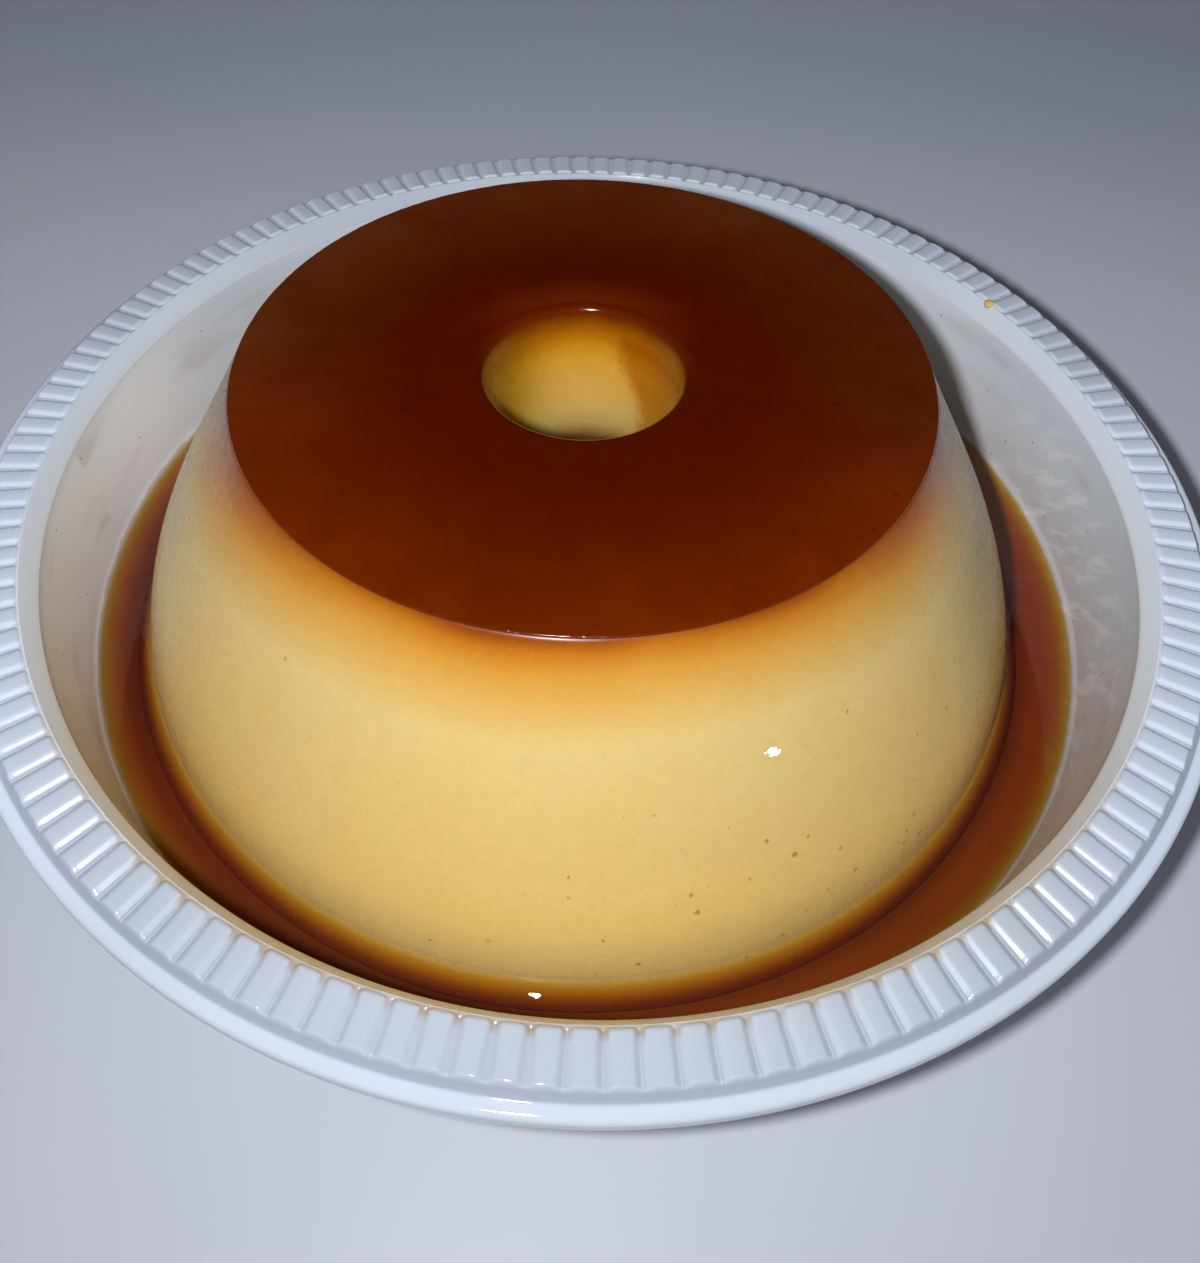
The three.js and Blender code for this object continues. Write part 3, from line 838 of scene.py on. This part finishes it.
CREST_HALF = 1.4
CREST_BULGE = 0.06
FLANK_WIDTH = 1.42
TIP_RADIUS = 122.55
TIP_LENGTH = 0.95
STEP_SLOPE = 2.1
STEP_FOOT_Z = 41.75


def smooth_min(a, b, k):
    h = np.clip(0.5 + 0.5 * (b - a) / k, 0, 1)
    return b + (a - b) * h - k * h * (1 - h)


def rib_height(radius):
    """Height of the ribbed rim round a circle: flat crests, soft flanks, round inner tips, and one
    cone that cuts the outer ends of crests and valleys alike."""
    pitch = 2 * math.pi * radius / RIB_COUNT
    off = np.abs((rib_angles / (2 * math.pi) * RIB_COUNT) % 1.0 - 0.5) * pitch
    across = np.clip((off - CREST_HALF) / FLANK_WIDTH, 0, None)
    along = max(TIP_RADIUS + TIP_LENGTH - radius, 0) / TIP_LENGTH
    reach = np.clip(np.hypot(across, along), 0, 1)
    top = VALLEY_Z + RIB_HEIGHT * (0.5 + 0.5 * np.cos(math.pi * reach))
    top -= CREST_BULGE * (off / CREST_HALF) ** 2 * (reach < 1)
    return smooth_min(top, STEP_FOOT_Z + STEP_SLOPE * (FLANGE_FOOT_RADIUS - radius), 0.7)


def ribbed(radius):
    return np.stack([radius * np.cos(rib_angles), radius * np.sin(rib_angles), rib_height(radius)], axis=1)


corner_z = SHELL + CORNER_RADIUS
outside = [(30.0, 0.0), (70.0, 0.0), (100.0, 0.0)]
outside += arc(CORNER_CENTRE, corner_z, CORNER_RADIUS + SHELL, -90, 0, 10)
outside += line(outside[-1], (WALL_TOP_RADIUS + SHELL, WALL_TOP_Z - 0.5), 4)
outside += rounded([
    outside[-1],
    (VALLEY_INNER_RADIUS + SHELL, VALLEY_Z - SHELL),
    (VALLEY_OUTER_RADIUS - SHELL, VALLEY_Z - SHELL),
    (VALLEY_OUTER_RADIUS - SHELL, FLANGE_Z - SHELL),
    (LIP_RADIUS - 1.6, FLANGE_Z - SHELL),
    (LIP_RADIUS - 1.3, LIP_Z),
    (LIP_RADIUS, LIP_Z + 0.1),
    (LIP_RADIUS, FLANGE_Z - 0.25),
    (FLANGE_FOOT_RADIUS, STEP_FOOT_Z),
    (FLANGE_FOOT_RADIUS - 0.6, STEP_FOOT_Z + 0.6 * STEP_SLOPE),
], [0.4, 0.5, 0.3, 0.4, 0.4, 0.5, 1.2, 0.55], 4)[1:-1]
dish_rings = revolved(outside, plain_angles)
rib_radii = [132.45, 132.25, 132.05, 131.85, 131.65, 131.45, 131.25, 131.05, 130.85, 130.6, 130.3,
             129.5, 128.0, 126.0, 124.6, 123.9, 123.65, 123.4, 123.15, 122.95, 122.75, 122.6]
dish_rings += [ribbed(r) for r in rib_radii]
inside = rounded([
    (TIP_RADIUS - 0.02, VALLEY_Z),
    (VALLEY_INNER_RADIUS, VALLEY_Z),
    (WALL_TOP_RADIUS, WALL_TOP_Z),
    (CORNER_CENTRE + CORNER_RADIUS, corner_z),
], [0.3, 0.5], 4)
dish_rings += revolved(inside[1:4], rib_angles)
inside = inside[4:-1] + line(inside[-2], inside[-1], 6)
inside += arc(CORNER_CENTRE, corner_z, CORNER_RADIUS, 0, -90, 12)[1:]
inside += [(100.0, SHELL), (70.0, SHELL), (30.0, SHELL)]
dish_rings += revolved(inside, plain_angles)
make_piece("white_dish", dish_rings, False, dish_material(), ["dish"])

# A dried drop of custard on the rim, at the back right.
DROP_AT = (102.7, 67.2, 44.1)
DROP_RADIUS = 1.35
DROP_HEIGHT = 0.95
drop_angles = np.linspace(0, 2 * math.pi, 36, endpoint=False)


def drop_place(ring):
    """A ring of the drop, slightly out of round, at its place."""
    wave = 1 + 0.1 * np.cos(2 * drop_angles + 0.6) + 0.05 * np.cos(3 * drop_angles)
    return DROP_AT + ring * np.stack([wave, wave, np.ones(len(ring))], axis=1)


drop_outline = [(DROP_RADIUS * 0.9, -0.8), (DROP_RADIUS, -0.3)]
drop_outline += [(DROP_RADIUS * math.cos(a), DROP_HEIGHT * math.sin(a)) for a in np.linspace(0.0, 1.35, 10)]
drop_rings = revolved(drop_outline, drop_angles, drop_place)
make_piece("dried_drop", drop_rings, False, drop_material())

# ---------------------------------------------------------------- syrup

syrup = syrup_material()


def circle(radius, centre_x, z):
    return np.stack([centre_x + radius * np.cos(pudding_angles), radius * np.sin(pudding_angles),
                     np.full(PUDDING_SIDES, z)], axis=1)


def corner_radius_at(z):
    return CORNER_CENTRE + math.sqrt(max(0.0, CORNER_RADIUS ** 2 - (z - corner_z) ** 2))


# The sauce climbs the custard and the wall by these heights, which fade over the fade lengths, and
# reaches into both so that no gap shows.
CLIMB_CUSTARD = 0.45
CLIMB_WALL = 0.3
FADE_CUSTARD = 0.7
FADE_WALL = 0.6
INTO = 0.12
pool_rings = []
inner_at = flank_radius(SAUCE_Z + CLIMB_CUSTARD) - INTO
outer_at = corner_radius_at(SAUCE_Z + CLIMB_WALL) + INTO
inner, outer = circle(inner_at, PUDDING_X, 0.0), circle(outer_at, 0.0, 0.0)
gap = np.linalg.norm(outer - inner, axis=1)
across = np.concatenate([np.linspace(0, 0.3, 10), np.linspace(0.3, 0.7, 5)[1:], np.linspace(0.7, 1, 10)[1:]])
for s in across:
    ring = inner + (outer - inner) * s
    ring[:, 2] = SAUCE_Z + CLIMB_CUSTARD * np.exp(-gap * s / FADE_CUSTARD)
    ring[:, 2] += CLIMB_WALL * np.exp(-gap * (1 - s) / FADE_WALL)
    pool_rings.append(ring)
for a in np.linspace(math.asin((SAUCE_Z - corner_z) / CORNER_RADIUS), -math.pi / 2, 7):
    r = CORNER_CENTRE + (CORNER_RADIUS + INTO) * math.cos(a)
    pool_rings.append(circle(r, 0.0, corner_z + (CORNER_RADIUS + INTO) * math.sin(a)))
for r, z in foot:
    pool_rings.append(circle(r - INTO * 1.2, PUDDING_X, max(z, SHELL - INTO) - INTO * 0.5))
make_piece("syrup_pool", pool_rings[::-1], True, syrup, ["sauce_pool"])

hole_rings = [circle(hole_radius(SHELL) + INTO, PUDDING_X, SHELL - INTO)]
hole_rings += [circle(hole_radius(z) + INTO, PUDDING_X, z) for z in (4.0, 6.0, SAUCE_Z)]
for s in np.linspace(0, 1, 10):
    r = (hole_radius(SAUCE_Z) + INTO) * (1 - s * 0.8)
    hole_rings.append(circle(r, PUDDING_X, SAUCE_Z + CLIMB_CUSTARD * math.exp(-s * 14)))
make_piece("syrup_in_hole", hole_rings, False, syrup, ["sauce_hole"])

# ---------------------------------------------------------------- stage, lights, camera

bpy.ops.mesh.primitive_grid_add(x_subdivisions=4, y_subdivisions=4, size=6.0, location=(0, 0, 0))
floor = bpy.context.object
floor.name = "table"
floor.data.materials.append(floor_material())

# Lamps: name, place, aim, width, depth, power, falloff with distance (None as real lamps have).
LAMPS = [
    ("key", tuple(KEY_AT * MM), (0, -0.03, 0.02), 0.014, 0.014, 10.9, "Constant"),
    ("soft_front", (0.0, -0.9, 0.8), (0, 0, 0), 1.2, 0.8, 2.8, None),
    ("soft_front_right", (0.85, -0.75, 0.4), (0, 0, 0.02), 0.6, 0.6, 0.1, None),
    ("soft_left", (-0.9, -0.1, 0.8), (0, 0, 0.02), 0.7, 0.7, 0.25, None),
    ("soft_right", (0.9, -0.1, 0.8), (0, 0, 0.02), 0.7, 0.7, 0.1, None),
    ("soft_back_left", (-0.9, 0.9, 0.35), (0, 0, 0.02), 0.7, 0.7, 0.4, None),
    ("soft_back_right", (0.9, 0.9, 0.35), (0, 0, 0.02), 0.7, 0.7, 0.4, None),
]
LAMP_COLOUR = (0.97, 1.0, 1.02)
WORLD_STRENGTH = 0.012

for name, place, aim, width, depth, power, falloff in LAMPS:
    data = bpy.data.lights.new(name, "AREA")
    data.shape = "ELLIPSE" if name == "key" else "RECTANGLE"
    data.size = width
    data.size_y = depth
    data.energy = power
    data.color = LAMP_COLOUR
    if falloff:
        lt = Tree(data)
        fall = lt.add("ShaderNodeLightFalloff", {"Strength": 1.0})
        glow = lt.add("ShaderNodeEmission", {"Strength": fall.outputs[falloff]})
        lt.add("ShaderNodeOutputLight", {0: glow.outputs[0]})
    lamp = bpy.data.objects.new(name, data)
    lamp.location = place
    lamp.rotation_euler = (Vector(aim) - Vector(place)).to_track_quat("-Z", "Y").to_euler()
    lamp.visible_camera = False
    lamp.visible_glossy = name == "key"
    bpy.context.scene.collection.objects.link(lamp)

# Surroundings: soft and even, but dark behind the object, where the flat top mirrors them.
world = bpy.data.worlds.new("studio")
bpy.context.scene.world = world
w = Tree(world)
direction = w.add("ShaderNodeTexCoord").outputs["Generated"]
mirrored = w.dot(direction, (0.0, 0.68, 0.73))
sky = w.mix(w.between(mirrored, 0.6, 0.85), (0.96, 0.98, 1.0, 1), (0.12, 0.12, 0.12, 1))
back = w.add("ShaderNodeBackground", {"Color": sky, "Strength": WORLD_STRENGTH})
w.add("ShaderNodeOutputWorld", {"Surface": back.outputs[0]})

forward = Vector((0, math.cos(PITCH), -math.sin(PITCH)))
right = Vector((1, 0, 0))
down = Vector((0, -math.sin(PITCH), -math.cos(PITCH)))
turn = Matrix.Rotation(YAW, 3, "Z")
forward, right, down = turn @ forward, turn @ right, turn @ down
rolled_right = math.cos(ROLL) * right + math.sin(ROLL) * down
rolled_down = -math.sin(ROLL) * right + math.cos(ROLL) * down
camera_data = bpy.data.cameras.new("camera")
camera = bpy.data.objects.new("camera", camera_data)
bpy.context.scene.collection.objects.link(camera)
camera_data.sensor_fit = "HORIZONTAL"
camera_data.sensor_width = SENSOR
camera_data.lens = FOCAL_PIXELS / PHOTO_WIDTH * SENSOR
camera_data.shift_x = (PHOTO_WIDTH / 2 - CENTRE_PIXEL_X) / PHOTO_WIDTH
camera_data.shift_y = (CENTRE_PIXEL_Y - PHOTO_HEIGHT / 2) / PHOTO_WIDTH
camera_data.clip_start = 0.005
camera_data.clip_end = 20.0
axes = Matrix((rolled_right, -rolled_down, -forward)).transposed()
camera.matrix_world = Matrix.Translation(CAMERA_AT * MM) @ axes.to_4x4()

scene = bpy.context.scene
scene.camera = camera
scene.view_settings.view_transform = "Standard"
scene.view_settings.look = "None"
scene.cycles.caustics_reflective = False
scene.cycles.caustics_refractive = False
scene.cycles.max_bounces = 6
scene.cycles.diffuse_bounces = 2
scene.cycles.transmission_bounces = 6
scene.cycles.transparent_max_bounces = 8
